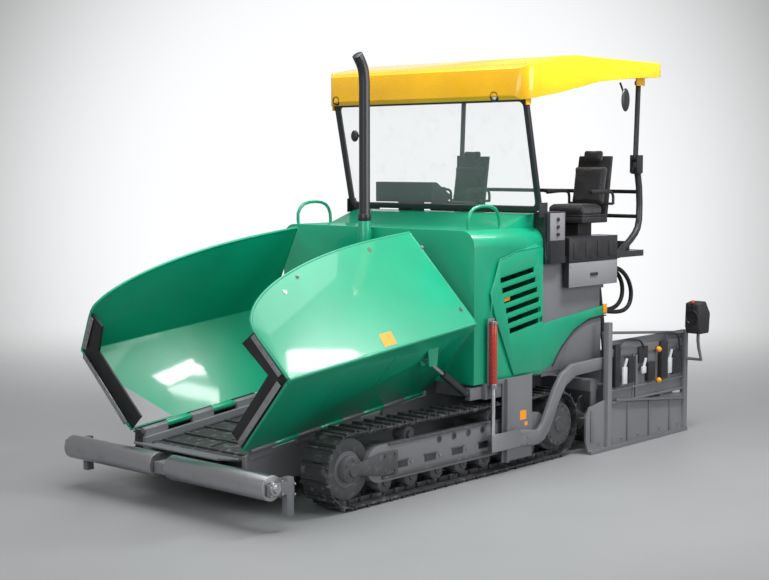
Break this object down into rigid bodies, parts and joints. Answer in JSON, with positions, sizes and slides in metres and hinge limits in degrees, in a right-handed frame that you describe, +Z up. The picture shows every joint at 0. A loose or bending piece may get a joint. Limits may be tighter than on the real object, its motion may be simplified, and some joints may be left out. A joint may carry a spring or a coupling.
{
  "type": "tracked asphalt paver",
  "caption": "Tracked road paver: folding hopper wings, push rollers, conveyor tunnels, augers, folding canopy, operator's platform and extending screed on tow arms.",
  "frame": {"origin": "centre of the machine's footprint box on the ground", "axes": "-Y to the front (push rollers), +X to the machine's left, +Z up"},
  "size_m": [3.21, 6, 3.86],
  "materials": {
    "green_paint": "gloss",
    "grey_paint": "satin",
    "black_paint": "satin",
    "yellow_paint": "gloss",
    "red_paint": "gloss",
    "steel": "satin",
    "worn_steel": "worn",
    "rubber": "matte",
    "dark_plastic": "matte",
    "seat_fabric": "woven",
    "clear_glass": "clear"
  },
  "bodies": {
    "chassis": {"chassis_frame": "grey_paint", "auger_beam": "grey_paint", "outer_hose": "rubber", "inner_hose": "rubber", "left_tow_guide": "grey_paint", "right_tow_guide": "grey_paint", "conveyor_floor": "worn_steel", "left_track": "worn_steel", "right_track": "worn_steel", "left_track_frame": "grey_paint", "right_track_frame": "grey_paint", "engine_housing": "green_paint", "engine_block": "grey_paint", "tank_housing": "grey_paint", "platform": "black_paint", "left_seat_base": "dark_plastic", "right_seat_base": "dark_plastic", "left_levelling_cylinder": "red_paint", "right_levelling_cylinder": "red_paint"},
    "front_apron": {"front_apron": "grey_paint"},
    "push_beam": {"push_beam": "grey_paint"},
    "operator_console": {"operator_console": "dark_plastic"},
    "windscreen": {"windscreen_frame": "black_paint", "windscreen_glass": "clear_glass"},
    "canopy_roof": {"canopy_roof": "yellow_paint"},
    "exhaust_stack": {"exhaust_stack": "black_paint"},
    "screed": {"screed_frame": "grey_paint", "left_tow_arm": "grey_paint", "right_tow_arm": "grey_paint"},
    "left_wing": {"left_wing": "green_paint", "left_wing_flap": "rubber"},
    "left_wing_barrel": {"left_wing_barrel": "black_paint"},
    "left_wing_rod": {"left_wing_rod": "steel"},
    "left_push_roller": {"left_push_roller": "steel"},
    "left_service_door": {"left_service_door": "green_paint"},
    "left_seat": {"left_seat": "seat_fabric"},
    "left_rear_post": {"left_rear_post": "black_paint"},
    "left_tow_slider": {"left_tow_slider": "steel"},
    "left_lift_barrel": {"left_lift_barrel": "black_paint"},
    "left_lift_rod": {"left_lift_rod": "steel"},
    "left_auger": {"left_auger": "steel"},
    "left_extension": {"left_screed_extension": "grey_paint", "left_screed_console": "dark_plastic"},
    "right_wing": {"right_wing": "green_paint", "right_wing_flap": "rubber"},
    "right_wing_barrel": {"right_wing_barrel": "black_paint"},
    "right_wing_rod": {"right_wing_rod": "steel"},
    "right_push_roller": {"right_push_roller": "steel"},
    "right_service_door": {"right_service_door": "green_paint"},
    "right_seat": {"right_seat": "seat_fabric"},
    "right_rear_post": {"right_rear_post": "black_paint"},
    "right_tow_slider": {"right_tow_slider": "steel"},
    "right_lift_barrel": {"right_lift_barrel": "black_paint"},
    "right_lift_rod": {"right_lift_rod": "steel"},
    "right_auger": {"right_auger": "steel"},
    "right_extension": {"right_screed_extension": "grey_paint", "right_screed_console": "dark_plastic"}
  },
  "joints": [
    {"name": "left_wing_hinge", "type": "hinge", "parent": "chassis", "child": "left_wing", "pos_m": [0.67, -2.55, 0.52], "axis": [0, 0.9945, 0.1044], "range_deg": [0, 25]},
    {"name": "left_wing_barrel_swing", "type": "hinge", "parent": "chassis", "child": "left_wing_barrel", "pos_m": [1.14, -0.46, 0.775], "axis": [0.8164, 0.3009, 0.4929], "range_deg": [0, 27.04]},
    {"name": "left_wing_rod_slide", "type": "slide", "parent": "left_wing_barrel", "child": "left_wing_rod", "axis": [-0.0351, -0.826, 0.5626], "range_m": [-0.10099, 0]},
    {"name": "right_wing_hinge", "type": "hinge", "parent": "chassis", "child": "right_wing", "pos_m": [-0.67, -2.55, 0.52], "axis": [0, -0.9945, -0.1044], "range_deg": [0, 25]},
    {"name": "right_wing_barrel_swing", "type": "hinge", "parent": "chassis", "child": "right_wing_barrel", "pos_m": [-1.14, -0.46, 0.775], "axis": [0.8164, -0.3009, -0.4929], "range_deg": [0, 27.04]},
    {"name": "right_wing_rod_slide", "type": "slide", "parent": "right_wing_barrel", "child": "right_wing_rod", "axis": [0.0351, -0.826, 0.5626], "range_m": [-0.10099, 0]},
    {"name": "apron_hinge", "type": "hinge", "parent": "chassis", "child": "front_apron", "pos_m": [0, -2.5751, 0.41236], "axis": [-1, 0, 0], "range_deg": [0, 70]},
    {"name": "push_beam_swing", "type": "hinge", "parent": "chassis", "child": "push_beam", "pos_m": [0, -2.665, 0.35], "axis": [0, 0, 1], "range_deg": [-5, 5]},
    {"name": "left_push_roller_spin", "type": "hinge", "parent": "push_beam", "child": "left_push_roller", "pos_m": [0.085, -2.9, 0.35], "axis": [1, 0, 0], "continuous": true},
    {"name": "right_push_roller_spin", "type": "hinge", "parent": "push_beam", "child": "right_push_roller", "pos_m": [-0.085, -2.9, 0.35], "axis": [1, 0, 0], "continuous": true},
    {"name": "left_service_door_hinge", "type": "hinge", "parent": "chassis", "child": "left_service_door", "pos_m": [1.2083, -0.05, 1.925], "axis": [0, -0.9725, -0.233], "range_deg": [0, 80]},
    {"name": "right_service_door_hinge", "type": "hinge", "parent": "chassis", "child": "right_service_door", "pos_m": [-1.2083, -0.05, 1.925], "axis": [0, 0.9725, 0.233], "range_deg": [0, 80]},
    {"name": "operator_console_slide", "type": "slide", "parent": "chassis", "child": "operator_console", "axis": [1, 0, 0], "range_m": [0, 1.2]},
    {"name": "left_seat_swivel", "type": "hinge", "parent": "chassis", "child": "left_seat", "pos_m": [0.78, 1.78, 2.26], "axis": [0, 0, 1], "range_deg": [-20, 20]},
    {"name": "right_seat_swivel", "type": "hinge", "parent": "chassis", "child": "right_seat", "pos_m": [-0.78, 1.78, 2.26], "axis": [0, 0, 1], "range_deg": [-20, 20]},
    {"name": "canopy_fold", "type": "hinge", "parent": "chassis", "child": "windscreen", "pos_m": [0, 0.575, 2.368], "axis": [1, 0, 0], "range_deg": [0, 62]},
    {"name": "canopy_roof_level", "type": "hinge", "parent": "windscreen", "child": "canopy_roof", "pos_m": [0, 0.35031, 3.37319], "axis": [1, 0, 0], "range_deg": [-62, 0]},
    {"name": "left_rear_post_fold", "type": "hinge", "parent": "chassis", "child": "left_rear_post", "pos_m": [1.12, 2.29, 2.83], "axis": [1, 0, 0], "range_deg": [0, 90.51]},
    {"name": "right_rear_post_fold", "type": "hinge", "parent": "chassis", "child": "right_rear_post", "pos_m": [-1.12, 2.29, 2.83], "axis": [1, 0, 0], "range_deg": [0, 90.51]},
    {"name": "exhaust_stack_fold", "type": "hinge", "parent": "chassis", "child": "exhaust_stack", "pos_m": [-0.03, -0.552, 2.26], "axis": [1, 0, 0], "range_deg": [0, 88.01]},
    {"name": "left_tow_point_level", "type": "slide", "parent": "chassis", "child": "left_tow_slider", "axis": [0, 0, 1], "range_m": [-0.1, 0.1]},
    {"name": "right_tow_point_level", "type": "slide", "parent": "chassis", "child": "right_tow_slider", "axis": [0, 0, 1], "range_m": [-0.1, 0.1]},
    {"name": "screed_lift", "type": "hinge", "parent": "left_tow_slider", "child": "screed", "pos_m": [0, 0.12, 0.31], "axis": [1, 0, 0], "range_deg": [0, 8]},
    {"name": "left_lift_barrel_swing", "type": "hinge", "parent": "chassis", "child": "left_lift_barrel", "pos_m": [1.08, 1.69, 1.62], "axis": [1, 0, 0], "range_deg": [-3.46, 0.01]},
    {"name": "left_lift_rod_slide", "type": "slide", "parent": "left_lift_barrel", "child": "left_lift_rod", "axis": [0, 0.1871, -0.9823], "range_m": [-0.24731, 0]},
    {"name": "right_lift_barrel_swing", "type": "hinge", "parent": "chassis", "child": "right_lift_barrel", "pos_m": [-1.08, 1.69, 1.62], "axis": [1, 0, 0], "range_deg": [-3.46, 0.01]},
    {"name": "right_lift_rod_slide", "type": "slide", "parent": "right_lift_barrel", "child": "right_lift_rod", "axis": [0, 0.1871, -0.9823], "range_m": [-0.24731, 0]},
    {"name": "left_screed_extend", "type": "slide", "parent": "screed", "child": "left_extension", "axis": [1, 0, 0], "range_m": [0, 1.225]},
    {"name": "left_auger_spin", "type": "hinge", "parent": "chassis", "child": "left_auger", "pos_m": [0.0806, 1.45, 0.32], "axis": [1, 0, 0], "continuous": true},
    {"name": "right_screed_extend", "type": "slide", "parent": "screed", "child": "right_extension", "axis": [-1, 0, 0], "range_m": [0, 1.225]},
    {"name": "right_auger_spin", "type": "hinge", "parent": "chassis", "child": "right_auger", "pos_m": [-0.0806, 1.45, 0.32], "axis": [1, 0, 0], "continuous": true}
  ],
  "couplings": [
    {"joint": "left_wing_barrel_swing", "follows": "left_wing_hinge", "ratio": 1.0813},
    {"joint": "left_wing_rod_slide", "follows": "left_wing_hinge", "m_per_rad": -0.23031},
    {"joint": "right_wing_barrel_swing", "follows": "right_wing_hinge", "ratio": 1.0813},
    {"joint": "right_wing_rod_slide", "follows": "right_wing_hinge", "m_per_rad": -0.23031},
    {"joint": "canopy_roof_level", "follows": "canopy_fold", "ratio": -1},
    {"joint": "left_rear_post_fold", "follows": "canopy_fold", "ratio": 1.4597},
    {"joint": "right_rear_post_fold", "follows": "canopy_fold", "ratio": 1.4597},
    {"joint": "exhaust_stack_fold", "follows": "canopy_fold", "ratio": 1.4194},
    {"joint": "right_tow_point_level", "follows": "left_tow_point_level", "ratio": 1},
    {"joint": "left_lift_barrel_swing", "follows": "screed_lift", "ratio": -0.43083},
    {"joint": "left_lift_rod_slide", "follows": "screed_lift", "m_per_rad": -1.7641},
    {"joint": "right_lift_barrel_swing", "follows": "screed_lift", "ratio": -0.43083},
    {"joint": "right_lift_rod_slide", "follows": "screed_lift", "m_per_rad": -1.7641}
  ]
}
